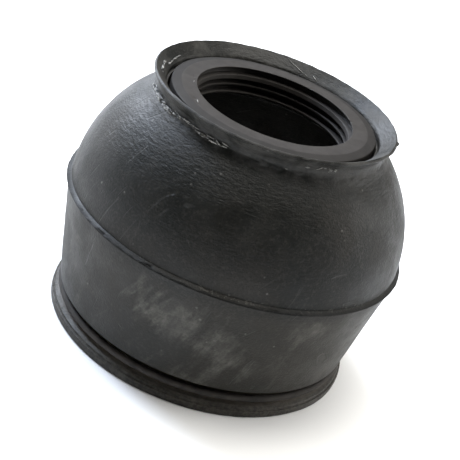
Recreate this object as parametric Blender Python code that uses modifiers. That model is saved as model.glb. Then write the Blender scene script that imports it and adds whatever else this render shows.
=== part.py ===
"""Tie rod end dust boot: a moulded rubber boot with a plastic stud bush in its neck.

Units are metres, +Z runs up the boot's axis towards the stud, and the origin is the
centre of the boot's underside, which is also where the ball's centre lies.
Every piece is turned about Z, so each one is a closed profile swept by a Screw modifier.
The boot is one moulding. It is divided into bands at the levels where it bends.
"""
import math

import bpy

MM = 0.001
SEGMENTS = 48
ARC_STEPS = 2
MERGE = 0.00001
GAP = 0.25 * MM
SHARP_ANGLE = math.radians(32.0)

# Base bead: flange, clip groove and mouth
FLANGE_R = 19.93 * MM
FLANGE_STEP_R = 19.66 * MM
FLANGE_STEP_Z = 0.95 * MM
FLANGE_TOP_Z = 1.15 * MM
GROOVE_R = 18.40 * MM
MOUTH_R = 15.60 * MM
BEAD_TOP_Z = 3.15 * MM

# Skirt: a cone that widens upwards from the groove to the parting line
SKIRT_BOTTOM_Z = 3.40 * MM
SKIRT_BOTTOM_R = 19.44 * MM
SKIRT_TOP_R = 21.85 * MM
SKIRT_WALL = 1.60 * MM
SKIRT_FOOT_R = 16.50 * MM
SKIRT_FOOT_Z = 6.40 * MM
SKIRT_CUT_Z = 10.20 * MM

# Parting line ridge
RIDGE_R = 22.23 * MM
RIDGE_LOW_Z = 16.95 * MM
RIDGE_HIGH_Z = 17.45 * MM

# Dome: one arc about a circle in the boot's section
DOME_CENTRE_R = 4.19 * MM
DOME_CENTRE_Z = 17.20 * MM
DOME_ARC_R = 17.40 * MM
DOME_WALL = 1.50 * MM
DOME_CUT_Z = 25.30 * MM
SHOULDER_CUT_Z = 28.70 * MM
SHOULDER_END_R = 15.30 * MM
BAND_STEPS = 4

# Neck and flared lip
COLLAR_R = 15.05 * MM
COLLAR_BOTTOM_Z = 27.95 * MM
CREASE_R = 14.35 * MM
CREASE_Z = 31.75 * MM
RIM_R = 15.68 * MM
RIM_TOP_Z = 33.80 * MM
RIM_DROP = 0.28 * MM
RIM_INNER_R = 15.36 * MM
LIP_INNER_R = 13.62 * MM
LIP_FOOT_Z = 32.35 * MM
LIP_STEP_Z = 31.90 * MM

# Neck reinforcing ring: an L section, sleeve and inward flange
NECK_RING_OUTER_R = 13.82 * MM
NECK_RING_INNER_R = 13.42 * MM
NECK_RING_FLANGE_R = 11.60 * MM
NECK_RING_LOW_Z = 28.10 * MM
NECK_RING_FLANGE_Z = 28.65 * MM
NECK_RING_TOP_Z = 31.65 * MM

# Base reinforcing ring: an L section, sleeve and outward foot
BASE_RING_INNER_R = 15.60 * MM
BASE_RING_OUTER_R = 16.15 * MM
BASE_RING_FOOT_R = 17.30 * MM
BASE_RING_LOW_Z = 0.65 * MM
BASE_RING_FOOT_Z = 1.15 * MM
BASE_RING_TOP_Z = 3.15 * MM

# Retaining ring: round spring wire in the groove
WIRE_CENTRE_R = 18.98 * MM
WIRE_CENTRE_Z = 2.30 * MM
WIRE_R = 0.45 * MM
WIRE_SIDES = 8

# Stud bush
BUSH_OUTER_R = 13.13 * MM
BUSH_FACE_R = 11.93 * MM
BUSH_TOP_Z = 32.74 * MM
BUSH_EDGE_DROP = 0.25 * MM
BUSH_BOTTOM_Z = 28.95 * MM
BORE_MOUTH_R = 10.00 * MM
BORE_UNDERCUT_R = 10.55 * MM
BORE_RIB_R = 9.85 * MM
BORE_RIB_STEP = 0.10 * MM
BORE_RIB_PITCH = 1.06 * MM
BORE_RIB_FIRST_Z = 31.44 * MM
BORE_RIB_HALF = 0.15 * MM
BORE_FLANK = 0.14 * MM
BORE_RIB_COUNT = 3

RUBBER = ("boot_rubber", (0.035, 0.035, 0.037, 1.0), 0.62, 0.0)
BUSH_PLASTIC = ("bush_plastic", (0.150, 0.142, 0.138, 1.0), 0.48, 0.0)
RING_STEEL = ("ring_steel", (0.420, 0.420, 0.430, 1.0), 0.35, 1.0)
WIRE_STEEL = ("wire_steel", (0.090, 0.088, 0.088, 1.0), 0.42, 1.0)


def clear_scene():
    """Removes the objects of the startup scene."""
    for obj in list(bpy.data.objects):
        bpy.data.objects.remove(obj, do_unlink=True)


def material(spec):
    """Returns the Principled material of one finish, made on first use."""
    name, colour, roughness, metallic = spec
    found = bpy.data.materials.get(name)
    if found:
        return found
    made = bpy.data.materials.new(name)
    made.use_nodes = True
    shader = made.node_tree.nodes["Principled BSDF"]
    shader.inputs["Base Color"].default_value = colour
    shader.inputs["Roughness"].default_value = roughness
    shader.inputs["Metallic"].default_value = metallic
    return made


def rounded(corners):
    """Turns (radius, height, fillet) corners into outline points, with an arc on each fillet."""
    points = []
    count = len(corners)
    for i, (r, z, fillet) in enumerate(corners):
        if fillet <= 0.0:
            points.append((r, z))
            continue
        before = corners[i - 1]
        after = corners[(i + 1) % count]
        a = (before[0] - r, before[1] - z)
        b = (after[0] - r, after[1] - z)
        len_a = math.hypot(*a)
        len_b = math.hypot(*b)
        ua = (a[0] / len_a, a[1] / len_a)
        ub = (b[0] / len_b, b[1] / len_b)
        for step in range(ARC_STEPS + 1):
            t = step / ARC_STEPS
            ka = fillet * (1.0 - t) ** 2
            kb = fillet * t ** 2
            points.append((r + ua[0] * ka + ub[0] * kb, z + ua[1] * ka + ub[1] * kb))
    return points


def turned(name, outline, finish, parts):
    """Sweeps a closed outline, run down its outer side first, about Z into one solid."""
    mesh = bpy.data.meshes.new(name)
    vertices = [(r, 0.0, z) for r, z in outline]
    edges = [(i, (i + 1) % len(outline)) for i in range(len(outline))]
    mesh.from_pydata(vertices, edges, [])
    obj = bpy.data.objects.new(name, mesh)
    parts.objects.link(obj)
    screw = obj.modifiers.new("Screw", "SCREW")
    screw.axis = "Z"
    screw.angle = 2.0 * math.pi
    screw.steps = SEGMENTS
    screw.render_steps = SEGMENTS
    screw.use_merge_vertices = True
    screw.merge_threshold = MERGE
    graph = bpy.context.evaluated_depsgraph_get()
    swept = bpy.data.meshes.new_from_object(obj.evaluated_get(graph))
    obj.modifiers.clear()
    obj.data = swept
    bpy.data.meshes.remove(mesh)
    swept.name = name
    swept.materials.clear()
    swept.materials.append(material(finish))
    swept.shade_smooth()
    swept.set_sharp_from_angle(angle=SHARP_ANGLE)
    return obj


def skirt_radius(z):
    """Outer radius of the skirt's cone at height z."""
    share = (z - SKIRT_BOTTOM_Z) / (RIDGE_LOW_Z - SKIRT_BOTTOM_Z)
    return SKIRT_BOTTOM_R + (SKIRT_TOP_R - SKIRT_BOTTOM_R) * share


def dome_angle(z):
    """Angle up the dome's arc at which its outer surface is at height z."""
    return math.asin((z - DOME_CENTRE_Z) / DOME_ARC_R)


def dome_point(angle, depth):
    """Point on the dome's section, depth in from its outer surface."""
    reach = DOME_ARC_R - depth
    return (DOME_CENTRE_R + reach * math.cos(angle), DOME_CENTRE_Z + reach * math.sin(angle))


def dome_band(low, high):
    """Outline of the dome's wall between two angles of its arc."""
    outer = []
    inner = []
    for step in range(BAND_STEPS + 1):
        angle = high + (low - high) * step / BAND_STEPS
        outer.append(dome_point(angle, 0.0))
        inner.append(dome_point(angle, DOME_WALL))
    return outer + inner[::-1]


def base_bead(parts):
    """Flange, groove floor and mouth, with the slot that holds the base ring."""
    slot_r = BASE_RING_FOOT_R + GAP
    wall_r = BASE_RING_OUTER_R + GAP
    slot_top = BASE_RING_FOOT_Z + GAP
    slot_low = BASE_RING_LOW_Z - GAP
    corners = [
        (wall_r, BEAD_TOP_Z, 0.0),
        (GROOVE_R, BEAD_TOP_Z, 0.0),
        (GROOVE_R, FLANGE_TOP_Z, 0.30 * MM),
        (FLANGE_STEP_R, FLANGE_TOP_Z, 0.12 * MM),
        (FLANGE_STEP_R, FLANGE_STEP_Z, 0.0),
        (FLANGE_R, FLANGE_STEP_Z, 0.12 * MM),
        (FLANGE_R, 0.0, 0.25 * MM),
        (MOUTH_R, 0.0, 0.10 * MM),
        (MOUTH_R, slot_low, 0.0),
        (slot_r, slot_low, 0.0),
        (slot_r, slot_top, 0.0),
        (wall_r, slot_top, 0.0),
    ]
    return turned("base_bead", rounded(corners), RUBBER, parts)


def base_ring(parts):
    """Steel L-section ring moulded into the base, bare at the mouth."""
    corners = [
        (BASE_RING_INNER_R, BASE_RING_TOP_Z, 0.0),
        (BASE_RING_OUTER_R, BASE_RING_TOP_Z, 0.10 * MM),
        (BASE_RING_OUTER_R, BASE_RING_FOOT_Z, 0.0),
        (BASE_RING_FOOT_R, BASE_RING_FOOT_Z, 0.10 * MM),
        (BASE_RING_FOOT_R, BASE_RING_LOW_Z, 0.10 * MM),
        (BASE_RING_INNER_R, BASE_RING_LOW_Z, 0.20 * MM),
    ]
    return turned("base_ring", rounded(corners), RING_STEEL, parts)


def retaining_ring(parts):
    """Round spring wire ring that lies in the groove."""
    outline = []
    for side in range(WIRE_SIDES):
        angle = math.radians(90.0) - 2.0 * math.pi * side / WIRE_SIDES
        r = WIRE_CENTRE_R + WIRE_R * math.cos(angle)
        z = WIRE_CENTRE_Z + WIRE_R * math.sin(angle)
        outline.append((r, z))
    return turned("retaining_ring", outline, WIRE_STEEL, parts)


def skirt_lower(parts):
    """Lower half of the cone, thickened at its foot where it meets the bead."""
    top_z = SKIRT_CUT_Z - GAP / 2.0
    corners = [
        (skirt_radius(top_z), top_z, 0.0),
        (SKIRT_BOTTOM_R, SKIRT_BOTTOM_Z, 0.18 * MM),
        (SKIRT_FOOT_R, SKIRT_BOTTOM_Z, 0.0),
        (SKIRT_FOOT_R, SKIRT_BOTTOM_Z + 0.9 * MM, 0.40 * MM),
        (skirt_radius(SKIRT_FOOT_Z) - SKIRT_WALL, SKIRT_FOOT_Z, 0.80 * MM),
        (skirt_radius(top_z) - SKIRT_WALL, top_z, 0.0),
    ]
    return turned("skirt_lower", rounded(corners), RUBBER, parts)


def skirt_upper(parts):
    """Upper half of the cone, up to the ridge on the parting line."""
    low_z = SKIRT_CUT_Z + GAP / 2.0
    corners = [
        (RIDGE_R, RIDGE_HIGH_Z, 0.12 * MM),
        (RIDGE_R, RIDGE_LOW_Z, 0.12 * MM),
        (SKIRT_TOP_R, RIDGE_LOW_Z, 0.0),
        (skirt_radius(low_z), low_z, 0.0),
        (skirt_radius(low_z) - SKIRT_WALL, low_z, 0.0),
        (SKIRT_TOP_R - SKIRT_WALL, RIDGE_LOW_Z - 1.2 * MM, 0.60 * MM),
        (dome_point(dome_angle(RIDGE_HIGH_Z), DOME_WALL)[0], RIDGE_HIGH_Z, 0.0),
    ]
    return turned("skirt_upper", rounded(corners), RUBBER, parts)


def dome_lower(parts):
    """Band of the dome above the parting line."""
    low = dome_angle(RIDGE_HIGH_Z + GAP)
    high = dome_angle(DOME_CUT_Z - GAP / 2.0)
    return turned("dome_lower", dome_band(low, high), RUBBER, parts)


def dome_upper(parts):
    """Band of the dome below the shoulder."""
    low = dome_angle(DOME_CUT_Z + GAP / 2.0)
    high = dome_angle(SHOULDER_CUT_Z - GAP / 2.0)
    return turned("dome_upper", dome_band(low, high), RUBBER, parts)


def dome_shoulder(parts):
    """Shoulder of the dome, cut upright where it joins the neck's collar."""
    low = dome_angle(SHOULDER_CUT_Z + GAP / 2.0)
    reach = SHOULDER_END_R - DOME_CENTRE_R
    outer_high = math.acos(reach / DOME_ARC_R)
    inner_high = math.acos(reach / (DOME_ARC_R - DOME_WALL))
    outer = []
    inner = []
    for step in range(BAND_STEPS + 1):
        share = step / BAND_STEPS
        outer.append(dome_point(outer_high + (low - outer_high) * share, 0.0))
        inner.append(dome_point(inner_high + (low - inner_high) * share, DOME_WALL))
    return turned("dome_shoulder", outer + inner[::-1], RUBBER, parts)


def neck_lip(parts):
    """Collar around the neck ring, with the thin lip that flares around the bush."""
    wall_r = NECK_RING_OUTER_R + GAP
    reach = COLLAR_R - DOME_CENTRE_R
    collar_top = DOME_CENTRE_Z + math.sqrt(DOME_ARC_R ** 2 - reach ** 2)
    corners = [
        (RIM_INNER_R, RIM_TOP_Z, 0.12 * MM),
        (RIM_R, RIM_TOP_Z - RIM_DROP, 0.14 * MM),
        (CREASE_R, CREASE_Z, 0.35 * MM),
        (COLLAR_R, collar_top, 0.0),
        (COLLAR_R, COLLAR_BOTTOM_Z, 0.30 * MM),
        (wall_r, COLLAR_BOTTOM_Z, 0.15 * MM),
        (wall_r, LIP_STEP_Z, 0.0),
        (LIP_INNER_R, LIP_STEP_Z, 0.10 * MM),
        (LIP_INNER_R, LIP_FOOT_Z, 0.30 * MM),
    ]
    return turned("neck_lip", rounded(corners), RUBBER, parts)


def neck_ring(parts):
    """Steel L-section ring that keeps the neck round and carries the bush."""
    corners = [
        (NECK_RING_INNER_R, NECK_RING_TOP_Z, 0.0),
        (NECK_RING_OUTER_R, NECK_RING_TOP_Z, 0.08 * MM),
        (NECK_RING_OUTER_R, NECK_RING_LOW_Z, 0.25 * MM),
        (NECK_RING_FLANGE_R, NECK_RING_LOW_Z, 0.08 * MM),
        (NECK_RING_FLANGE_R, NECK_RING_FLANGE_Z, 0.08 * MM),
        (NECK_RING_INNER_R, NECK_RING_FLANGE_Z, 0.15 * MM),
    ]
    return turned("neck_ring", rounded(corners), RING_STEEL, parts)


def stud_bush(parts):
    """Flat-faced ring that grips the stud's taper, with ribs round its bore."""
    corners = [
        (BORE_MOUTH_R, BUSH_TOP_Z, 0.0),
        (BUSH_FACE_R, BUSH_TOP_Z, 0.0),
        (BUSH_OUTER_R, BUSH_TOP_Z - BUSH_EDGE_DROP, 0.12 * MM),
        (BUSH_OUTER_R, BUSH_BOTTOM_Z, 0.20 * MM),
    ]
    last = BORE_RIB_COUNT - 1
    foot_r = BORE_RIB_R - BORE_RIB_STEP * last
    corners.append((foot_r + 0.45 * MM, BUSH_BOTTOM_Z, 0.0))
    for rib in range(last, -1, -1):
        r = BORE_RIB_R - BORE_RIB_STEP * rib
        z = BORE_RIB_FIRST_Z - BORE_RIB_PITCH * rib
        root = BORE_UNDERCUT_R - BORE_RIB_STEP * rib
        corners.append((root, z - BORE_RIB_HALF - BORE_FLANK, 0.0))
        corners.append((r, z - BORE_RIB_HALF, 0.0))
        corners.append((r, z + BORE_RIB_HALF, 0.0))
        corners.append((root, z + BORE_RIB_HALF + BORE_FLANK, 0.0))
    corners.append((BORE_UNDERCUT_R, BUSH_TOP_Z - 0.45 * MM, 0.0))
    corners.append((BORE_MOUTH_R, BUSH_TOP_Z - 0.22 * MM, 0.0))
    return turned("stud_bush", rounded(corners), BUSH_PLASTIC, parts)


def build():
    """Builds every piece into one collection."""
    clear_scene()
    parts = bpy.data.collections.new("tie_rod_end_boot")
    bpy.context.scene.collection.children.link(parts)
    base_bead(parts)
    base_ring(parts)
    retaining_ring(parts)
    skirt_lower(parts)
    skirt_upper(parts)
    dome_lower(parts)
    dome_upper(parts)
    dome_shoulder(parts)
    neck_lip(parts)
    neck_ring(parts)
    stud_bush(parts)


build()
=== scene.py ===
"""Looks of a tie rod end's dust boot: the rubber moulding with its lip, ridge and torn flash, its bush and rings.

Shapes are in millimetres until their mesh is made. Materials, lamps and the camera are in metres.
The boot's section is one closed path, turned about the boot's axis, Z, into one grid, which is then cut into
pieces; the base bead and the neck lip are carried by bodies.
"""

import math

import bpy
import numpy as np
from mathutils import Matrix


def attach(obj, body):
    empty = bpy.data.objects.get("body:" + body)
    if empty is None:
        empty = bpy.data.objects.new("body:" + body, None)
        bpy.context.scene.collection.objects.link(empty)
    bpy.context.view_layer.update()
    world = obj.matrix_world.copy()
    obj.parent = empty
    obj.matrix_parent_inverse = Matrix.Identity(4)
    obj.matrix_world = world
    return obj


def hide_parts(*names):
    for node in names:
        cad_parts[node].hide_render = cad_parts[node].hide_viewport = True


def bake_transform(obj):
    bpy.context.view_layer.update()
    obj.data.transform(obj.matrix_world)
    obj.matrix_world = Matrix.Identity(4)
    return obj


MM = 0.001
TURN = 2.0 * math.pi

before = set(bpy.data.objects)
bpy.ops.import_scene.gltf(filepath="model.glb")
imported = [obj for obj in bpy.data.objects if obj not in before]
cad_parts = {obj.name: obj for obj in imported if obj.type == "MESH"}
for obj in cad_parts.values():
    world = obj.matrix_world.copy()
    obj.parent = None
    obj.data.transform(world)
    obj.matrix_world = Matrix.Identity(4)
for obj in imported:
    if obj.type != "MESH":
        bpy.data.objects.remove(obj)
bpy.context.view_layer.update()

# ---------------------------------------------------------------- sizes, in millimetres
# Radii end in _R and heights above the base face in _Z. A CUT is a height at which two bands of the boot meet.
FLANGE_R, FLANGE_STEP_R, FLANGE_STEP_Z, FLANGE_TOP_Z = 19.93, 19.66, 0.95, 1.15
GROOVE_R, GROOVE_FLOOR_Z, MOUTH_R, BEAD_TOP_Z = 18.40, 1.72, 15.60, 3.25
SKIRT_BOTTOM_Z, SKIRT_BOTTOM_R, SKIRT_TOP_R, SKIRT_WALL = 3.38, 19.44, 21.85, 1.60
SKIRT_FOOT_R, SKIRT_FOOT_Z = 16.50, 6.40
RIDGE_R, RIDGE_LOW_Z, RIDGE_HIGH_Z = 22.17, 16.92, 17.52
DOME_R, DOME_Z, DOME_ARC, DOME_WALL = 4.19, 17.20, 17.40, 1.50
SKIRT_CUT, DOME_CUT, SHOULDER_CUT, NECK_CUT = 10.20, 21.55, 24.90, 29.10
INNER_RIDGE, INNER_DOME_CUT, INNER_SHOULDER_CUT, INNER_NECK_CUT = 16.90, 21.18, 24.24, 28.07
COLLAR_R, COLLAR_BOTTOM_Z = 15.05, 27.95
CREASE_R, CREASE_Z = 14.35, 31.75
RIM_R, RIM_TOP_Z, RIM_DROP, RIM_INNER_R = 15.66, 33.78, 0.26, 15.38
LIP_INNER_R, LIP_FOOT_Z, LIP_STEP_Z = 13.62, 32.35, 31.90
SLOT_R, SLOT_LOW_Z, SLOT_TOP_Z, SLOT_WALL_R = 17.55, 0.40, 1.40, 16.40
NECK_WALL_R = 14.07
BUSH_TOP_Z, BUSH_BOTTOM_Z, BUSH_R = 32.74, 28.95, 13.13

# Steps round a turned piece, and the direction of the boot's front
AROUND = 480
FRONT = -math.pi / 2.0


# ---------------------------------------------------------------- noise
def lattice(ix, iy, iz, seed):
    """Fixed pseudo-random numbers from 0 to 1 at whole-number points."""
    mask = 0xFFFFFFFF
    h = (ix * 374761393 + iy * 668265263 + iz * 1103515245 + seed * 974711) & mask
    h = ((h ^ (h >> 13)) * 1274126177) & mask
    return ((h ^ (h >> 16)) & 0xFFFF) / 65535.0


def value_noise(points, scale, seed):
    """Smooth noise from -1 to 1 at points, with features of about scale."""
    p = points / scale
    base = np.floor(p).astype(np.int64)
    f = p - base
    f = f * f * (3.0 - 2.0 * f)
    total = 0.0
    for dx in (0, 1):
        wx = f[..., 0] if dx else 1.0 - f[..., 0]
        for dy in (0, 1):
            wy = f[..., 1] if dy else 1.0 - f[..., 1]
            for dz in (0, 1):
                wz = f[..., 2] if dz else 1.0 - f[..., 2]
                corner = lattice(base[..., 0] + dx, base[..., 1] + dy, base[..., 2] + dz, seed)
                total = total + wx * wy * wz * corner
    return total * 2.0 - 1.0


def fractal(points, scale, octaves, seed):
    """Several octaves of noise, each half as wide and half as strong as the last."""
    total = 0.0
    strength = 1.0
    for octave in range(octaves):
        total = total + strength * value_noise(points, scale / 2 ** octave, seed + octave)
        strength *= 0.5
    return total


def bump_window(x, centre, width):
    """A smooth hump, 1 at centre and 0 beyond width."""
    t = np.clip(1.0 - np.abs(x - centre) / width, 0.0, 1.0)
    return t * t * (3.0 - 2.0 * t)


def turn_gap(angle, centre):
    """Signed angle from centre, from -pi to pi."""
    return (angle - centre + math.pi) % TURN - math.pi


# ---------------------------------------------------------------- turned grids
def rounded(corners, steps=5):
    """Turns (radius, height, fillet) corners of an open path into points, with an arc at each fillet."""
    points = []
    for i, (r, z, fillet) in enumerate(corners):
        if fillet <= 0.0 or i in (0, len(corners) - 1):
            points.append((r, z))
            continue
        corner = np.array((r, z))
        a = np.array(corners[i - 1][:2]) - corner
        b = np.array(corners[i + 1][:2]) - corner
        a = a / np.hypot(*a)
        b = b / np.hypot(*b)
        for step in range(steps + 1):
            t = step / steps
            points.append(tuple(corner + a * fillet * (1.0 - t) ** 2 + b * fillet * t ** 2))
    return points


def dome_arc(z_from, z_to, depth, spacing=0.2):
    """Points of the dome's section between two heights, depth in from its outer surface."""
    reach = DOME_ARC - depth
    a = math.asin((z_from - DOME_Z) / reach)
    b = math.asin((z_to - DOME_Z) / reach)
    count = max(2, int(abs(b - a) * reach / spacing))
    angles = [a + (b - a) * k / count for k in range(count + 1)]
    return [(DOME_R + reach * math.cos(t), DOME_Z + reach * math.sin(t)) for t in angles]


def dense(points, spacing):
    """Adds points along the straight stretches, so that none is longer than spacing."""
    out = [points[0]]
    for a, b in zip(points[:-1], points[1:]):
        length = math.hypot(b[0] - a[0], b[1] - a[1])
        if length < 1e-5:
            continue
        count = max(1, math.ceil(length / spacing))
        for k in range(1, count + 1):
            out.append((a[0] + (b[0] - a[0]) * k / count, a[1] + (b[1] - a[1]) * k / count))
    return out


def joined(stretches):
    """Joins stretches end to end. Returns the path and the row at which each stretch starts."""
    path = []
    starts = {}
    for name, points in stretches:
        starts[name] = max(0, len(path) - 1)
        path.extend(points if not path else points[1:])
    return np.array(path), starts


def section_normals(path):
    """Unit normals of a closed path that runs down its outer side."""
    step = np.roll(path, -1, axis=0) - np.roll(path, 1, axis=0)
    normal = np.stack((-step[:, 1], step[:, 0]), axis=1)
    return normal / np.maximum(np.hypot(normal[:, 0], normal[:, 1]), 1e-9)[:, None]


def turned_grid(path):
    """Points, normals and angles of a closed path turned about Z."""
    angle = np.arange(AROUND) * TURN / AROUND
    c, s = np.cos(angle)[None, :], np.sin(angle)[None, :]
    r, z = path[:, 0][:, None], path[:, 1][:, None]
    flat = section_normals(path)
    points = np.stack((r * c, r * s, z + 0.0 * c), axis=2)
    normals = np.stack((flat[:, :1] * c, flat[:, :1] * s, flat[:, 1:] + 0.0 * c), axis=2)
    return points, normals, np.broadcast_to(angle[None, :], points.shape[:2])


def grid_normals(points):
    """Unit normals of a grid that is closed both ways, worked out from its points."""
    across = np.roll(points, -1, axis=1) - np.roll(points, 1, axis=1)
    along = np.roll(points, -1, axis=0) - np.roll(points, 1, axis=0)
    normal = np.cross(along, across)
    return normal / np.maximum(np.linalg.norm(normal, axis=2), 1e-12)[..., None]


def grid_object(name, points, normals, wrap_rows=False):
    """Makes a mesh from the rows of a grid that goes all the way round, with the grid's own normals.

    Its rest_place attribute keeps where each point lies at rest, so that a material keeps to the rubber as it
    bends.
    """
    rows, around = points.shape[:2]
    index = np.arange(rows * around).reshape(rows, around)
    low = index if wrap_rows else index[:-1]
    high = np.roll(index, -1, axis=0) if wrap_rows else index[1:]
    quads = np.stack((low, high, np.roll(high, -1, axis=1), np.roll(low, -1, axis=1)), axis=2)
    vertices = (points.reshape(-1, 3) * MM).astype(np.float32).ravel()
    faces = quads.reshape(-1, 4)
    mesh = bpy.data.meshes.new(name)
    mesh.vertices.add(rows * around)
    mesh.vertices.foreach_set("co", vertices)
    mesh.loops.add(faces.size)
    mesh.loops.foreach_set("vertex_index", faces.astype(np.int32).ravel())
    mesh.polygons.add(len(faces))
    mesh.polygons.foreach_set("loop_start", np.arange(0, faces.size, 4, dtype=np.int32))
    mesh.update(calc_edges=True)
    mesh.validate()
    mesh.shade_smooth()
    mesh.normals_split_custom_set_from_vertices(normals.reshape(-1, 3).tolist())
    rest = mesh.attributes.new("rest_place", "FLOAT_VECTOR", "POINT")
    rest.data.foreach_set("vector", vertices)
    obj = bpy.data.objects.new(name, mesh)
    bpy.context.scene.collection.objects.link(obj)
    return obj


# ---------------------------------------------------------------- the boot's section
def skirt_radius(z):
    """The skirt's outer radius at a height, between its foot and the ridge."""
    share = (z - SKIRT_BOTTOM_Z) / (RIDGE_LOW_Z - SKIRT_BOTTOM_Z)
    return SKIRT_BOTTOM_R + (SKIRT_TOP_R - SKIRT_BOTTOM_R) * share


def dome_radius(z, depth=0.0):
    """The dome's radius at a height, depth in from its outer surface."""
    return DOME_R + math.sqrt((DOME_ARC - depth) ** 2 - (z - DOME_Z) ** 2)


CREASE_SPLIT_Z, CREASE_FOOT_Z = 31.55, 30.35
lip_and_crease = rounded([
    (RIM_R, RIM_TOP_Z - RIM_DROP, 0.0),
    (CREASE_R, CREASE_Z, 1.05),
    (dome_radius(CREASE_FOOT_Z), CREASE_FOOT_Z, 0.0),
], 12)
crease_rows = dense(lip_and_crease, 0.12)
split = next(k for k, p in enumerate(crease_rows) if p[1] <= CREASE_SPLIT_Z)
lip_outer, shoulder_top = crease_rows[:split + 1], crease_rows[split:]

collar_join_z = DOME_Z + math.sqrt((DOME_ARC - DOME_WALL) ** 2 - (COLLAR_R - DOME_R) ** 2)
neck_path = rounded([
    (COLLAR_R, collar_join_z, 0.0),
    (COLLAR_R, COLLAR_BOTTOM_Z, 0.30),
    (NECK_WALL_R, COLLAR_BOTTOM_Z, 0.12),
    (NECK_WALL_R, LIP_STEP_Z, 0.04),
    (LIP_INNER_R, LIP_STEP_Z, 0.10),
    (LIP_INNER_R, LIP_FOOT_Z, 0.45),
    (RIM_INNER_R, RIM_TOP_Z, 0.13),
    (RIM_R, RIM_TOP_Z - RIM_DROP, 0.16),
    (CREASE_R, CREASE_Z, 0.0),
])[:-1]
base_path = rounded([
    (GROOVE_R, BEAD_TOP_Z, 0.0),
    (GROOVE_R, GROOVE_FLOOR_Z, 0.25),
    (FLANGE_STEP_R - 0.04, FLANGE_TOP_Z, 0.10),
    (FLANGE_STEP_R + 0.02, FLANGE_STEP_Z, 0.05),
    (FLANGE_R, FLANGE_STEP_Z, 0.16),
    (FLANGE_R, 0.0, 0.24),
    (MOUTH_R, 0.0, 0.12),
    (MOUTH_R, SLOT_LOW_Z, 0.04),
    (SLOT_R, SLOT_LOW_Z, 0.05),
    (SLOT_R, SLOT_TOP_Z, 0.05),
    (SLOT_WALL_R, SLOT_TOP_Z, 0.05),
    (SLOT_WALL_R, BEAD_TOP_Z, 0.05),
    (SKIRT_FOOT_R, SKIRT_BOTTOM_Z, 0.0),
])
skirt_lower_path = rounded([
    (skirt_radius(SKIRT_CUT), SKIRT_CUT, 0.0),
    (SKIRT_BOTTOM_R, SKIRT_BOTTOM_Z, 0.20),
    (GROOVE_R + 0.10, SKIRT_BOTTOM_Z - 0.05, 0.08),
    (GROOVE_R, BEAD_TOP_Z, 0.0),
])
skirt_upper_path = rounded([
    (dome_radius(RIDGE_HIGH_Z), RIDGE_HIGH_Z, 0.0),
    (dome_radius(RIDGE_HIGH_Z) - 0.04, RIDGE_HIGH_Z - 0.10, 0.05),
    (RIDGE_R - 0.12, RIDGE_LOW_Z + 0.24, 0.06),
    (RIDGE_R, RIDGE_LOW_Z + 0.14, 0.04),
    (RIDGE_R - 0.14, RIDGE_LOW_Z + 0.05, 0.05),
    (SKIRT_TOP_R - 0.22, RIDGE_LOW_Z + 0.02, 0.06),
    (SKIRT_TOP_R - 0.03, RIDGE_LOW_Z - 0.14, 0.10),
    (skirt_radius(SKIRT_CUT), SKIRT_CUT, 0.0),
])
inner_lower_path = rounded([
    (SKIRT_FOOT_R, SKIRT_BOTTOM_Z, 0.0),
    (SKIRT_FOOT_R, SKIRT_BOTTOM_Z + 0.9, 0.50),
    (skirt_radius(SKIRT_FOOT_Z) - SKIRT_WALL, SKIRT_FOOT_Z, 1.0),
    (skirt_radius(SKIRT_CUT) - SKIRT_WALL, SKIRT_CUT, 0.0),
])
inner_upper_path = rounded([
    (skirt_radius(SKIRT_CUT) - SKIRT_WALL, SKIRT_CUT, 0.0),
    (SKIRT_TOP_R - SKIRT_WALL - 0.15, RIDGE_LOW_Z - 1.2, 0.9),
    (dome_radius(INNER_RIDGE, DOME_WALL), INNER_RIDGE, 0.0),
])

# One closed path: down the outside from the crease, round the base, up the lining and round the lip
OUT_STEP, IN_STEP = 0.20, 0.45
boot_path, row = joined([
    ("shoulder", shoulder_top + dome_arc(CREASE_FOOT_Z, SHOULDER_CUT, 0.0)[1:]),
    ("dome_upper", dome_arc(SHOULDER_CUT, DOME_CUT, 0.0)),
    ("dome_lower", dome_arc(DOME_CUT, RIDGE_HIGH_Z, 0.0)),
    ("skirt_upper", dense(skirt_upper_path[:-1], 0.10) + dense(skirt_upper_path[-2:], OUT_STEP)[1:]),
    ("skirt_lower", dense(skirt_lower_path, OUT_STEP)),
    ("base", dense(base_path, OUT_STEP)),
    ("inner_skirt_lower", dense(inner_lower_path, IN_STEP)),
    ("inner_skirt_upper", dense(inner_upper_path, IN_STEP)),
    ("inner_dome_lower", dome_arc(INNER_RIDGE, INNER_DOME_CUT, DOME_WALL, IN_STEP)),
    ("inner_dome_upper", dome_arc(INNER_DOME_CUT, INNER_SHOULDER_CUT, DOME_WALL, IN_STEP)),
    ("inner_shoulder", dome_arc(INNER_SHOULDER_CUT, collar_join_z, DOME_WALL, IN_STEP)),
    ("neck", dense(neck_path, OUT_STEP)),
    ("lip", lip_outer),
])
boot_path = boot_path[:-1]


def dent(points, centre, radius, depth):
    """A rounded dent of the given depth about a centre."""
    away = np.linalg.norm(points - np.array(centre), axis=-1)
    return -depth * bump_window(away, 0.0, radius)


def on_ring(radius, degrees, z):
    turn = math.radians(degrees)
    return (radius * math.cos(turn), radius * math.sin(turn), z)


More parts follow.
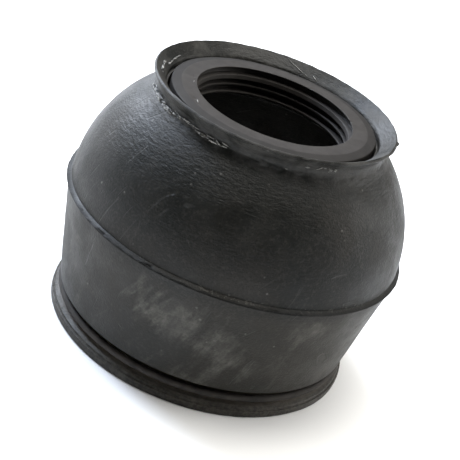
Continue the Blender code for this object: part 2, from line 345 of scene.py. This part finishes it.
def boot_relief(points, angle):
    """How far each point of the boot stands proud of its turned shape, along its normal, in millimetres."""
    z = points[..., 2]
    r = np.hypot(points[..., 0], points[..., 1])

    # Soft waves all over, half as deep on the lining
    strength = np.ones((len(points), 1))
    strength[row["inner_skirt_lower"]:row["neck"]] = 0.5
    relief = 0.035 * fractal(points, 9.0, 2, 11) + 0.010 * fractal(points, 1.6, 2, 23)
    relief = relief * strength

    # The ridge's edge, ragged and nicked where its flash was torn off
    ridge = bump_window(z, 17.08, 0.26) * (r > 21.85)
    ragged = value_noise(points, 1.3, 51) * 0.5 + value_noise(points, 0.5, 57) * 0.5
    nicks = np.clip(value_noise(points, 0.9, 59) - 0.55, 0.0, 1.0)
    relief = relief + ridge * (0.07 * ragged - 0.04 - 0.5 * nicks)

    # The rim, with a nub on its right, the lip's waves and the wrinkled crease under it
    rim = bump_window(z, 33.75, 0.5) * (r > 14.9)
    relief = relief + rim * 0.045 * value_noise(points, 0.9, 63)
    nub = bump_window(turn_gap(angle, math.radians(-2.0)), 0.0, 0.045) * bump_window(z, 33.60, 0.35)
    relief = relief + 0.22 * (nub * (r > 15.3))
    lip = bump_window(z, 33.0, 1.3) * (r > 13.0)
    relief = relief + lip * 0.05 * fractal(points, 4.0, 2, 67)
    crease = bump_window(z, 31.3, 0.9) * (r > 14.2)
    relief = relief + crease * 0.06 * fractal(points * np.array((1.0, 1.0, 2.0)), 0.9, 2, 69)

    # The flange's uneven edge
    flange = bump_window(z, 0.8, 1.0) * (r > 19.0)
    return relief + flange * 0.035 * fractal(points, 0.7, 2, 73)


def sag(points, angle):
    """The soft moulding's parting line stands a little higher at front and back than at its sides."""
    lift = 0.07 * np.cos(2.0 * turn_gap(angle, FRONT)) + 0.03 * np.sin(3.0 * angle + 0.7)
    moved = points.copy()
    moved[..., 2] += lift * bump_window(points[..., 2], 17.2, 5.0)
    return moved


points, flat_normals, angle = turned_grid(boot_path)
points = points + flat_normals * boot_relief(points, angle)[..., None]
points = sag(points, angle)
points[..., 2] = np.maximum(points[..., 2], 0.0)
normals = grid_normals(points)


# ---------------------------------------------------------------- materials
def node_adder(tree):
    """A helper that adds a node to the tree. Its inputs are values, or sockets to link to."""
    def add(kind, inputs=None, **settings):
        node = tree.nodes.new(kind)
        for key, value in settings.items():
            setattr(node, key, value)
        for key, value in (inputs or {}).items():
            socket = node.inputs[key]
            if isinstance(value, bpy.types.NodeSocket):
                tree.links.new(value, socket)
            else:
                socket.default_value = value
        return node

    return add


def node_material(name):
    """A node material, its tree and Principled shader, and its node_adder."""
    made = bpy.data.materials.new(name)
    made.use_nodes = True
    tree = made.node_tree
    return made, tree, tree.nodes["Principled BSDF"], node_adder(tree)


def ramp(add, value, stops):
    """A colour ramp of (position, (red, green, blue)) stops."""
    node = add("ShaderNodeValToRGB", {"Fac": value})
    line = node.color_ramp
    while len(line.elements) < len(stops):
        line.elements.new(0.5)
    for element, (position, colour) in zip(line.elements, stops):
        element.position = position
        element.color = colour + (1.0,)
    return node.outputs["Color"]


def noise(add, place, scale, detail=3.0, roughness=0.55, stretch=None, turn=(0.0, 0.0, 0.0)):
    """A noise factor. stretch is its features' length along its own X, Y and Z, and turn its rotation."""
    if stretch:
        settings = {"Vector": place, "Rotation": turn, "Scale": stretch}
        place = add("ShaderNodeMapping", settings, vector_type="TEXTURE").outputs[0]
    settings = {"Vector": place, "Scale": scale, "Detail": detail, "Roughness": roughness}
    return add("ShaderNodeTexNoise", settings).outputs["Fac"]


def span(add, value, low, high, to_low=0.0, to_high=1.0):
    """value's stretch from low to high, brought smoothly to to_low..to_high and held there outside it."""
    settings = {"Value": value, "From Min": low, "From Max": high, "To Min": to_low, "To Max": to_high}
    return add("ShaderNodeMapRange", settings, interpolation_type="SMOOTHSTEP").outputs["Result"]


def maths(add, operation, a, b=0.0):
    return add("ShaderNodeMath", {0: a, 1: b}, operation=operation).outputs[0]


def product(add, *factors):
    total = factors[0]
    for factor in factors[1:]:
        total = maths(add, "MULTIPLY", total, factor)
    return total


def mixed(add, factor, a, b):
    """Colour a with colour b (red, green, blue) laid over it by factor."""
    return add("ShaderNodeMix", {0: factor, 6: a, 7: b + (1.0,)}, data_type="RGBA").outputs[2]


def scratch_mask(add, place, turn, scale, threshold, shift):
    """Thin long scratches lying one way, broken up by a coarse noise. shift picks another place in it."""
    offset = (shift, -shift, 0.4 * shift)
    moved = add("ShaderNodeMapping", {"Vector": place, "Location": offset}).outputs[0]
    lines = noise(add, moved, scale, 2.0, 0.5, stretch=(14.0, 1.0, 14.0), turn=turn)
    thin = span(add, lines, threshold, threshold + 0.035)
    patchy = span(add, noise(add, moved, 110.0, 2.0), 0.50, 0.62)
    return product(add, thin, patchy)


def scuffs(add, place, xyz):
    """Pale streaks where the skirt was handled: faint all round, strong in three places on its front."""
    streaks = noise(add, place, 480.0, 6.0, 0.66, stretch=(1.0, 3.4, 3.4), turn=(0.0, 0.40, 0.0))
    blots = noise(add, place, 170.0, 3.0, 0.6)
    wiped = maths(add, "ADD", product(add, streaks, 0.66), product(add, blots, 0.34))
    handled = 0.0
    for middle_x, middle_z, wide, tall in (
        (-0.0030, 0.0112, 0.0085, 0.0045),
        (0.0035, 0.0098, 0.0050, 0.0050),
        (0.0075, 0.0075, 0.0055, 0.0040),
    ):
        sideways = maths(add, "ABSOLUTE", maths(add, "SUBTRACT", xyz["X"], middle_x))
        upward = maths(add, "ABSOLUTE", maths(add, "SUBTRACT", xyz["Z"], middle_z))
        patch = product(add, span(add, sideways, wide, 0.0), span(add, upward, tall, 0.0))
        handled = maths(add, "MAXIMUM", handled, patch)
    handled = product(add, handled, span(add, xyz["Y"], -0.008, -0.016))
    return span(add, maths(add, "ADD", wiped, product(add, handled, 0.15)), 0.51, 0.71)


def rubber_material():
    """Satin black rubber: mottled, finely pored, creased like leather high on the dome, dusty low down, with
    painted shade under the ridge and painted light in the groove and the neck's crease.
    """
    made, tree, shader, add = node_material("boot_rubber_detail")
    place = add("ShaderNodeAttribute", attribute_name="rest_place").outputs["Vector"]
    xyz = add("ShaderNodeSeparateXYZ", {0: place}).outputs

    def between(low, low_full, high_full, high):
        """1 from low_full to high_full in height, fading to 0 at low and high."""
        return product(add, span(add, xyz["Z"], low, low_full), span(add, xyz["Z"], high, high_full))

    patches = noise(add, place, 85.0, 4.0, 0.6)
    cloud = noise(add, place, 240.0, 5.0, 0.65)
    grain = noise(add, place, 2300.0, 3.0, 0.6)
    pores = noise(add, place, 4600.0, 2.0, 0.5)
    hide = noise(add, place, 3700.0, 2.0, 0.5, stretch=(3.6, 3.6, 1.0))
    greenish, neutral, brownish = (0.0022, 0.0033, 0.0026), (0.0060, 0.0059, 0.0044), (0.0140, 0.0122, 0.0090)
    tone = ramp(add, patches, [(0.34, greenish), (0.52, neutral), (0.72, brownish)])
    tone = mixed(add, span(add, cloud, 0.48, 0.74, 0.0, 0.36), tone, (0.025, 0.0235, 0.0195))
    tone = mixed(add, span(add, grain, 0.47, 0.74, 0.0, 0.30), tone, (0.042, 0.039, 0.033))
    tone = mixed(add, span(add, pores, 0.50, 0.30, 0.0, 0.60), tone, (0.0020, 0.0020, 0.0018))

    # Skirt: scuffs and a film of dust
    low_down = span(add, xyz["Z"], 0.0166, 0.0150)
    dust = product(add, scuffs(add, place, xyz), low_down, span(add, cloud, 0.36, 0.60, 0.40, 1.0))
    fine = span(add, grain, 0.36, 0.58, 0.72, 1.0)
    tone = mixed(add, product(add, dust, 0.9, fine), tone, (0.112, 0.108, 0.096))
    tone = mixed(add, product(add, low_down, 0.20), tone, (0.040, 0.036, 0.027))

    # Base flange and its groove
    base_dust = product(add, span(add, xyz["Z"], 0.0040, 0.0024), span(add, cloud, 0.36, 0.60, 0.55, 1.0))
    speckled = span(add, grain, 0.38, 0.60, 0.25, 1.0)
    tone = mixed(add, product(add, base_dust, 0.55, speckled), tone, (0.088, 0.078, 0.066))

    # Ridge: painted shade in the band under its edge, crumbs of flash on its crest
    painted_shade_under_ridge = between(0.0168, 0.0170, 0.0171, 0.0174)
    tone = mixed(add, product(add, painted_shade_under_ridge, 0.75), tone, (0.0030, 0.0030, 0.0028))
    crest = between(0.01720, 0.01735, 0.01762, 0.01780)
    crumbs = span(add, noise(add, place, 2600.0, 2.0), 0.54, 0.64)
    crumbs = product(add, crumbs, span(add, noise(add, place, 150.0, 2.0), 0.46, 0.60))
    tone = mixed(add, product(add, crest, crumbs, 0.5), tone, (0.09, 0.087, 0.075))
    # Groove: pale dust, and painted light that lifts the groove out of its shade
    groove_dust_and_painted_light = between(0.0012, 0.0016, 0.0033, 0.0034)
    tone = mixed(add, product(add, groove_dust_and_painted_light, 0.75), tone, (0.19, 0.165, 0.135))

    # Neck: pale dust and painted light from the crease up, lifting the crease's shade; scratches and specks
    neck_dust_and_painted_light = product(add, span(add, xyz["Z"], 0.0298, 0.0312), span(add, cloud, 0.40, 0.62))
    tone = mixed(add, product(add, neck_dust_and_painted_light, 0.40), tone, (0.085, 0.082, 0.076))
    lines = maths(
        add, "MAXIMUM",
        scratch_mask(add, place, (0.3, 0.2, 0.9), 2100.0, 0.655, 0.0),
        scratch_mask(add, place, (-0.4, 0.7, -0.5), 1800.0, 0.665, 0.013),
    )
    tone = mixed(add, product(add, lines, 0.16), tone, (0.085, 0.083, 0.077))
    spots = add("ShaderNodeTexVoronoi", {"Vector": place, "Scale": 620.0}, feature="F1")
    speck = span(add, spots.outputs["Distance"], 0.13, 0.05)
    speck = product(add, speck, span(add, noise(add, place, 320.0, 1.0), 0.56, 0.64))
    tone = mixed(add, product(add, speck, 0.55), tone, (0.13, 0.125, 0.115))
    tree.links.new(tone, shader.inputs["Base Color"])

    rough = span(add, cloud, 0.34, 0.68, 0.45, 0.60)
    rough = maths(add, "ADD", rough, product(add, dust, 0.12))
    rough = maths(add, "ADD", rough, product(add, painted_shade_under_ridge, 0.14))
    tree.links.new(rough, shader.inputs["Roughness"])
    shader.inputs["Specular IOR Level"].default_value = 0.25
    wrinkled = span(add, xyz["Z"], 0.0190, 0.0255, 0.15, 1.0)
    relief = maths(add, "ADD", product(add, pores, 0.55), product(add, hide, wrinkled))
    relief = maths(add, "ADD", relief, product(add, lines, -0.6))
    bump = add("ShaderNodeBump", {"Strength": 1.0, "Distance": 0.00008, "Height": relief})
    tree.links.new(bump.outputs["Normal"], shader.inputs["Normal"])
    return made


def bush_material():
    """Smooth grey-black plastic, darker on the slope round the face's edge."""
    made, tree, shader, add = node_material("bush_plastic_detail")
    place = add("ShaderNodeTexCoord").outputs["Object"]
    grain = add("ShaderNodeTexNoise", {"Vector": place, "Scale": 900.0, "Detail": 3.0}).outputs["Fac"]
    tone = ramp(add, grain, [(0.30, (0.031, 0.028, 0.026)), (0.70, (0.043, 0.039, 0.036))])
    flat = add("ShaderNodeVectorMath", {0: place, 1: (1.0, 1.0, 0.0)}, operation="MULTIPLY").outputs[0]
    reach = add("ShaderNodeVectorMath", {0: flat}, operation="LENGTH").outputs["Value"]
    edge = span(add, reach, 0.01190, 0.01205)
    tone = mixed(add, product(add, edge, 0.55), tone, (0.010, 0.009, 0.008))
    tree.links.new(tone, shader.inputs["Base Color"])
    worn = noise(add, place, 210.0, 4.0, 0.6)
    rough = maths(add, "ADD", span(add, worn, 0.35, 0.65, 0.50, 0.60), product(add, edge, 0.14))
    tree.links.new(rough, shader.inputs["Roughness"])
    shader.inputs["Specular IOR Level"].default_value = 0.17
    bump = add("ShaderNodeBump", {"Strength": 0.15, "Distance": 0.00003, "Height": grain})
    tree.links.new(bump.outputs["Normal"], shader.inputs["Normal"])
    return made


def steel_material(name, metallic, low, high, warmth, roughness):
    """Grained metal between two greys, or dust over it where metallic is 0. warmth takes down green and blue."""
    made, tree, shader, add = node_material(name)
    place = add("ShaderNodeTexCoord").outputs["Object"]
    grain = add("ShaderNodeTexNoise", {"Vector": place, "Scale": 700.0, "Detail": 4.0}).outputs["Fac"]
    tones = [(at, (level, level * warmth, level * warmth ** 2)) for at, level in ((0.3, low), (0.7, high))]
    tree.links.new(ramp(add, grain, tones), shader.inputs["Base Color"])
    settings = {"Value": grain, "To Min": roughness[0], "To Max": roughness[1]}
    tree.links.new(add("ShaderNodeMapRange", settings).outputs["Result"], shader.inputs["Roughness"])
    shader.inputs["Metallic"].default_value = metallic
    shader.inputs["Specular IOR Level"].default_value = 0.35
    return made


def flash_material():
    """Torn rubber: pale and dry where it was ripped, black between."""
    made, tree, shader, add = node_material("torn_rubber_detail")
    place = add("ShaderNodeTexCoord").outputs["Object"]
    torn = noise(add, place, 1800.0, 4.0, 0.65)
    black, grey, pale = (0.020, 0.020, 0.018), (0.20, 0.195, 0.18), (0.40, 0.39, 0.36)
    tone = ramp(add, torn, [(0.38, black), (0.50, grey), (0.66, pale)])
    tree.links.new(tone, shader.inputs["Base Color"])
    tree.links.new(span(add, torn, 0.3, 0.7, 0.45, 0.75), shader.inputs["Roughness"])
    bump = add("ShaderNodeBump", {"Strength": 0.5, "Distance": 0.00005, "Height": torn})
    tree.links.new(bump.outputs["Normal"], shader.inputs["Normal"])
    return made


RUBBER = rubber_material()
FLASH = flash_material()
BUSH = bush_material()
STEEL = steel_material("ring_steel_detail", 1.0, 0.07, 0.16, 1.0, (0.50, 0.68))
WIRE = steel_material("wire_steel_detail", 0.0, 0.012, 0.042, 0.86, (0.70, 0.85))


# ---------------------------------------------------------------- boot pieces
def boot_piece(name, first, last, node):
    """The boot's grid from row first to row last, or on to row 0 where last is None, standing for a CAD node."""
    if last is None:
        rows = list(range(first, len(points))) + [0]
    else:
        rows = list(range(first, last + 1))
    obj = grid_object(name, points[rows], normals[rows])
    obj.data.materials.append(RUBBER)
    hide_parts(node)
    return obj


def bent(obj):
    """Bakes the piece's placing into its mesh; it is not blended between bodies."""
    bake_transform(obj)


# Name, the two bodies, and the heights between which the outer and the inner skin would turn from one to the
# other. Only the name is used: the pieces are not blended or carried by a body.
bands = [
    ("skirt_lower", "base", "lower_skirt", SKIRT_BOTTOM_Z, SKIRT_CUT, SKIRT_BOTTOM_Z, SKIRT_CUT),
    ("skirt_upper", "lower_skirt", "upper_skirt", SKIRT_CUT, RIDGE_HIGH_Z, SKIRT_CUT, INNER_RIDGE),
    ("dome_lower", "upper_skirt", "lower_dome", RIDGE_HIGH_Z, DOME_CUT, INNER_RIDGE, INNER_DOME_CUT),
    ("dome_upper", "lower_dome", "upper_dome", DOME_CUT, SHOULDER_CUT, INNER_DOME_CUT, INNER_SHOULDER_CUT),
    ("shoulder", "upper_dome", "neck", SHOULDER_CUT, NECK_CUT, INNER_SHOULDER_CUT, INNER_NECK_CUT),
]
outer_order = ["shoulder", "dome_upper", "dome_lower", "skirt_upper", "skirt_lower", "base"]
inner_order = [
    "inner_skirt_lower", "inner_skirt_upper",
    "inner_dome_lower", "inner_dome_upper",
    "inner_shoulder", "neck",
]
for name, a, b, out_low, out_high, in_low, in_high in bands:
    node = "dome_shoulder" if name == "shoulder" else name
    after = outer_order[outer_order.index(name) + 1]
    skin = boot_piece("boot_" + name, row[name], row[after], node)
    bent(skin)
    after = inner_order[inner_order.index("inner_" + name) + 1]
    lining = boot_piece("boot_inner_" + name, row["inner_" + name], row[after], node)
    bent(lining)
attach(boot_piece("boot_base_bead", row["base"], row["inner_skirt_lower"], "base_bead"), "base")
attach(boot_piece("boot_neck_lip", row["neck"], None, "neck_lip"), "neck")

# ---------------------------------------------------------------- bush and rings
bush_corners = [
    (11.20, BUSH_TOP_Z, 0.0),
    (11.95, BUSH_TOP_Z, 0.25),
    (BUSH_R, BUSH_TOP_Z - 0.26, 0.14),
    (BUSH_R, BUSH_BOTTOM_Z, 0.20),
    (10.12, BUSH_BOTTOM_Z, 0.06),
]
RIB_DEPTH, RIB_FLANK = 0.75, 0.18
for r, z, half, lean in ((9.67, 29.32, 0.10, 0.0), (9.76, 30.38, 0.11, 0.0), (9.72, 31.44, 0.26, 0.12)):
    bush_corners += [
        (r + RIB_DEPTH, z - half - RIB_FLANK, 0.06),
        (r, z - half, 0.06),
        (r + lean, z + half, 0.06),
        (r + RIB_DEPTH, z + half + RIB_FLANK, 0.06),
    ]
bush_corners += [
    (10.60, BUSH_TOP_Z - 0.42, 0.06),
    (10.02, BUSH_TOP_Z - 0.16, 0.05),
    (10.00, BUSH_TOP_Z, 0.06),
    (11.20, BUSH_TOP_Z, 0.0),
]
bush_path = np.array(dense(rounded(bush_corners), 0.22)[:-1])
bush_points, bush_flat, _ = turned_grid(bush_path)
bush_relief = 0.006 * fractal(bush_points, 2.2, 2, 71)
for radius, degrees, below, reach, depth in (
    (10.05, 70.0, 0.1, 0.42, 0.16),
    (10.55, 182.0, 0.0, 0.40, 0.10),
    (11.40, 217.0, 0.0, 0.45, 0.08),
    (10.10, 20.0, 0.1, 0.35, 0.10),
):
    centre = on_ring(radius, degrees, BUSH_TOP_Z - below)
    bush_relief = bush_relief + dent(bush_points, centre, reach, depth)
bush_points = bush_points + bush_flat * bush_relief[..., None]
bush = grid_object("stud_bush_detail", bush_points, grid_normals(bush_points), wrap_rows=True)
bush.data.materials.append(BUSH)
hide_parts("stud_bush")
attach(bush, "bush")


def turned_piece(name, corners, node, body, made, rough=0.0):
    """A ring turned from closed corners, a little uneven. rough adds a finer unevenness, in millimetres."""
    path = np.array(dense(rounded(corners + corners[:1]), 0.3)[:-1])
    grid, flat, _ = turned_grid(path)
    grid = grid + flat * (0.010 * fractal(grid, 2.0, 2, 81) + rough * fractal(grid, 0.5, 2, 84))[..., None]
    obj = grid_object(name, grid, grid_normals(grid), wrap_rows=True)
    obj.data.materials.append(made)
    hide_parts(node)
    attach(obj, body)
    return obj


turned_piece("neck_ring_detail", [
    (13.60, 31.65, 0.0), (13.82, 31.65, 0.08), (13.82, 28.10, 0.30), (11.60, 28.10, 0.10),
    (11.60, 28.65, 0.10), (13.42, 28.65, 0.18), (13.42, 31.65, 0.08),
], "neck_ring", "neck", STEEL, rough=0.004)
turned_piece("base_ring_detail", [
    (15.90, 3.15, 0.0), (16.15, 3.15, 0.10), (16.15, 1.15, 0.15), (17.30, 1.15, 0.12),
    (17.30, 0.65, 0.12), (15.60, 0.65, 0.25), (15.60, 3.15, 0.10),
], "base_ring", "base", STEEL)
WIRE_RING_R, WIRE_RING_Z, WIRE_HALF, WIRE_SIDES = 18.98, 2.30, 0.45, 16
wire = []
for k in range(WIRE_SIDES):
    a = -TURN * k / WIRE_SIDES
    wire.append((WIRE_RING_R + WIRE_HALF * math.cos(a), WIRE_RING_Z + WIRE_HALF * math.sin(a), 0.0))
turned_piece("retaining_ring_detail", wire, "retaining_ring", "base", WIRE, rough=0.016)


# ---------------------------------------------------------------- torn moulding flash
def flash_ring(name, radius, z, lean, spots, seed, body):
    """A ragged fin of flash round a circle.

    lean is the fin's direction (out, up), and spots are where it shows, as (degrees, half-width, height).
    """
    around = 900
    angle = np.arange(around) * TURN / around
    height = np.zeros(around)
    ring = np.stack((radius * np.cos(angle), radius * np.sin(angle), 0.0 * angle + z), axis=1)
    torn = 0.55 + 0.75 * value_noise(ring, 0.55, seed) + 0.35 * value_noise(ring, 0.22, seed + 5)
    for degrees, half_width, tall in spots:
        reach = bump_window(turn_gap(angle, math.radians(degrees)), 0.0, math.radians(half_width))
        height = np.maximum(height, tall * np.sqrt(reach) * np.clip(torn, 0.0, 1.4))
    sway = 0.25 * value_noise(ring, 1.1, seed + 9)
    section = [(0.0, 0.08), (0.5, 0.075), (1.0, 0.02), (1.0, -0.02), (0.5, -0.075), (0.0, -0.08)]
    rows = []
    for along, across in section:
        out = radius - 0.12 + along * height * lean[0] - across * lean[1] * (1.0 + sway)
        up = z + along * height * (lean[1] + sway * along) + across * lean[0]
        rows.append(np.stack((out * np.cos(angle), out * np.sin(angle), up), axis=1))
    grid = np.array(rows[::-1])
    obj = grid_object(name, grid, grid_normals(grid), wrap_rows=True)
    obj.data.materials.append(FLASH)
    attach(obj, body)


def hairs(name, paths, body, made):
    """Thin raised hairs, pointed at both ends. paths holds (path, half-width), each path (radius, degrees, z)."""
    vertices, faces = [], []
    steps, sides = 18, 5
    for number, (path, width) in enumerate(paths):
        corners = np.array([on_ring(*p) for p in path])
        t = np.linspace(0.0, len(corners) - 1.0, steps)
        line = np.stack([np.interp(t, np.arange(len(corners)), corners[:, k]) for k in range(3)], axis=1)
        wander = [value_noise(line + 7.0 * k, 0.5, 91 + k + number) for k in range(3)]
        line = line + 0.05 * np.stack(wander, axis=1)
        ahead = np.gradient(line, axis=0)
        ahead = ahead / np.linalg.norm(ahead, axis=1)[:, None]
        side = np.cross(ahead, (0.0, 0.0, 1.0))
        side = side / np.linalg.norm(side, axis=1)[:, None]
        top = np.cross(side, ahead)
        ragged = 1.0 + 0.5 * value_noise(line, 0.25, 97 + number)
        half = (width * ragged * np.sin(np.linspace(0.05, math.pi - 0.05, steps)) ** 0.6)[:, None]
        first = len(vertices)
        for a in np.arange(sides) * TURN / sides:
            vertices.extend((line + half * (math.cos(a) * side + math.sin(a) * top)).tolist())
        faces += [[first + j * steps + i, first + j * steps + i + 1,
                   first + (j + 1) % sides * steps + i + 1, first + (j + 1) % sides * steps + i]
                  for j in range(sides) for i in range(steps - 1)]
        faces.append([first + j * steps for j in range(sides)])
        faces.append([first + j * steps + steps - 1 for j in reversed(range(sides))])
    mesh = bpy.data.meshes.new(name)
    mesh.from_pydata((np.array(vertices) * MM).tolist(), [], faces)
    mesh.shade_smooth()
    mesh.materials.append(made)
    obj = bpy.data.objects.new(name, mesh)
    bpy.context.scene.collection.objects.link(obj)
    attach(obj, body)


def scattered(count, degrees, middle, spread, lengths, widths, seed):
    """Short hairs strewn between two angles, about a middle (radius, z)."""
    rng = np.random.default_rng(seed)
    out = []
    for _ in range(count):
        at = rng.uniform(*degrees)
        radius = middle[0] + rng.uniform(-spread[0], spread[0])
        z = middle[1] + rng.uniform(-spread[1], spread[1])
        length = math.degrees(rng.uniform(*lengths) / radius)
        tilt = rng.uniform(-0.25, 0.25)
        start = (radius, at - length / 2.0, z - tilt * 0.5)
        end = (radius, at + length / 2.0, z + tilt * 0.5)
        out.append(([start, (radius + 0.04, at, z), end], rng.uniform(*widths)))
    return out


flash_ring("neck_flash", 14.80, 31.45, (0.95, 0.10), [
    (-160.0, 6.0, 0.55), (-153.0, 5.0, 0.60), (-138.0, 4.5, 0.65), (-131.0, 4.0, 0.50),
    (-117.0, 5.0, 0.55), (-108.0, 5.0, 0.60), (35.0, 6.0, 0.40), (118.0, 8.0, 0.50),
], 101, "neck")
torn = scattered(16, (-166.0, -134.0), (14.96, 31.38), (0.05, 0.28), (0.7, 1.9), (0.06, 0.12), 5)
torn += scattered(16, (-134.0, -104.0), (14.84, 31.62), (0.05, 0.25), (0.4, 1.5), (0.04, 0.10), 6)
torn += scattered(12, (-68.0, -44.0), (15.00, 32.42), (0.03, 0.25), (0.25, 0.7), (0.03, 0.05), 7)
torn += scattered(8, (20.0, 150.0), (14.86, 31.45), (0.05, 0.25), (0.5, 1.4), (0.04, 0.08), 8)
hairs("neck_torn_flash", torn, "neck", FLASH)
inner = scattered(9, (163.0, 178.0), (13.98, 32.74), (0.10, 0.06), (0.5, 1.4), (0.05, 0.09), 9)
inner += scattered(9, (178.0, 194.0), (14.45, 33.12), (0.12, 0.06), (0.4, 1.1), (0.05, 0.09), 10)
inner.append(([(15.15, 92.5, 33.62), (14.76, 89.5, 33.30), (14.27, 84.0, 32.90), (13.92, 79.0, 32.62)], 0.06))
inner.append(([(14.25, 76.5, 32.88), (13.88, 73.5, 32.58)], 0.06))
hairs("lip_torn_flash", inner, "neck", FLASH)
hairs("bush_nicks", [
    ([(10.38, -171.5, 32.745), (10.46, -167.5, 32.745)], 0.05),
    ([(11.30, -141.5, 32.745), (11.62, -137.5, 32.745)], 0.05),
], "bush", FLASH)

# ---------------------------------------------------------------- floor, light and camera
FLOOR_HALF_M, FLOOR_DROP_M = 5.0, 0.00002
GLOW_FROM_M, GLOW_FULL_M = 0.35, 1.2
floor_mesh = bpy.data.meshes.new("floor")
corners = [(FLOOR_HALF_M * x, FLOOR_HALF_M * y, 0.0) for x, y in ((-1, -1), (1, -1), (1, 1), (-1, 1))]
floor_mesh.from_pydata(corners, [], [(0, 1, 2, 3)])
floor = bpy.data.objects.new("floor", floor_mesh)
bpy.context.scene.collection.objects.link(floor)
floor.location.z = -FLOOR_DROP_M
paper, paper_tree, paper_shader, add = node_material("floor_paper")
paper_shader.inputs["Base Color"].default_value = (0.95, 0.95, 0.95, 1.0)
paper_shader.inputs["Roughness"].default_value = 0.9
paper_shader.inputs["Specular IOR Level"].default_value = 0.1
paper_shader.inputs["Emission Color"].default_value = (1.0, 1.0, 1.0, 1.0)
# The lamps don't reach the floor far out, so it glows there, to stay as pale as it is round the boot
reach = add("ShaderNodeVectorMath", {0: add("ShaderNodeTexCoord").outputs["Object"]}, operation="LENGTH")
glow = {"Value": reach.outputs["Value"], "From Min": GLOW_FROM_M, "From Max": GLOW_FULL_M}
glow_strength = add("ShaderNodeMapRange", glow).outputs["Result"]
paper_tree.links.new(glow_strength, paper_shader.inputs["Emission Strength"])
floor_mesh.materials.append(paper)

# White round the horizon and dim above it. The front of the sky is darker, like a dark room before the object
world = bpy.data.worlds.new("studio")
bpy.context.scene.world = world
world.use_nodes = True
sky = world.node_tree
add = node_adder(sky)
aim = add("ShaderNodeSeparateXYZ", {0: add("ShaderNodeTexCoord").outputs["Generated"]}).outputs
levels = [(0.0, 0.95), (0.12, 0.95), (0.18, 0.24), (0.50, 0.05)]
sky_colour = ramp(add, aim["Z"], [(place, (level, 0.995 * level, 0.985 * level)) for place, level in levels])
sky.links.new(sky_colour, sky.nodes["Background"].inputs["Color"])
shade = {"Value": aim["Y"], "From Min": -0.60, "From Max": -0.25, "To Min": 0.10, "To Max": 1.0}
sky.links.new(add("ShaderNodeMapRange", shade).outputs["Result"], sky.nodes["Background"].inputs["Strength"])


BOOT_MIDDLE_M = 0.018


def softbox(name, place, size, watts, colour):
    """A rectangular area lamp that faces the middle of the boot."""
    light = bpy.data.lights.new(name, "AREA")
    light.shape = "RECTANGLE"
    light.size, light.size_y = size
    light.energy = watts
    light.color = colour
    obj = bpy.data.objects.new(name, light)
    bpy.context.scene.collection.objects.link(obj)
    ahead = np.array((0.0, 0.0, BOOT_MIDDLE_M)) - np.array(place)
    ahead = ahead / np.linalg.norm(ahead)
    side = np.cross(ahead, (0.0, 0.0, 1.0))
    side = side / np.linalg.norm(side)
    up = np.cross(side, ahead)
    rotation = Matrix((side, up, -ahead)).transposed().to_4x4()
    obj.matrix_world = Matrix.Translation(place) @ rotation


softbox("window", (-0.47, 0.49, 0.33), (0.42, 0.42), 7.0, (0.84, 0.90, 1.0))
softbox("sheen", (-0.49, 0.24, 0.51), (0.20, 0.20), 4.8, (0.70, 0.81, 1.0))
softbox("right_side", (0.60, 0.20, 0.30), (0.40, 0.40), 2.2, (1.0, 0.985, 0.955))
softbox("overhead", (0.0, 0.16, 0.95), (0.9, 0.9), 15.0, (1.0, 0.985, 0.945))

# The camera stands 152 mm from the boot's axis and 93 mm above its base face. It looks 27 degrees down and is
# rolled by 20 degrees. Its focal length is in pixels of a frame 460 pixels wide.
DISTANCE, HEIGHT = 0.1523, 0.0926
PITCH, ROLL = math.radians(27.16), math.radians(20.0)
FOCAL_PX, FRAME_PX, SENSOR = 1333.4, 460.0, 36.0
ahead = np.array((0.0, math.cos(PITCH), -math.sin(PITCH)))
level = np.array((1.0, 0.0, 0.0))
above = np.cross(level, ahead)
right = math.cos(ROLL) * level + math.sin(ROLL) * above
up = -math.sin(ROLL) * level + math.cos(ROLL) * above
camera_data = bpy.data.cameras.new("camera")
camera_data.sensor_width = SENSOR
camera_data.lens = FOCAL_PX * SENSOR / FRAME_PX
camera_data.clip_start = 0.005
camera_data.clip_end = 20.0
camera = bpy.data.objects.new("camera", camera_data)
bpy.context.scene.collection.objects.link(camera)
turn = Matrix((right, up, -ahead)).transposed().to_4x4()
camera.matrix_world = Matrix.Translation((0.0, -DISTANCE, HEIGHT)) @ turn
bpy.context.scene.camera = camera
bpy.context.scene.view_settings.view_transform = "Standard"
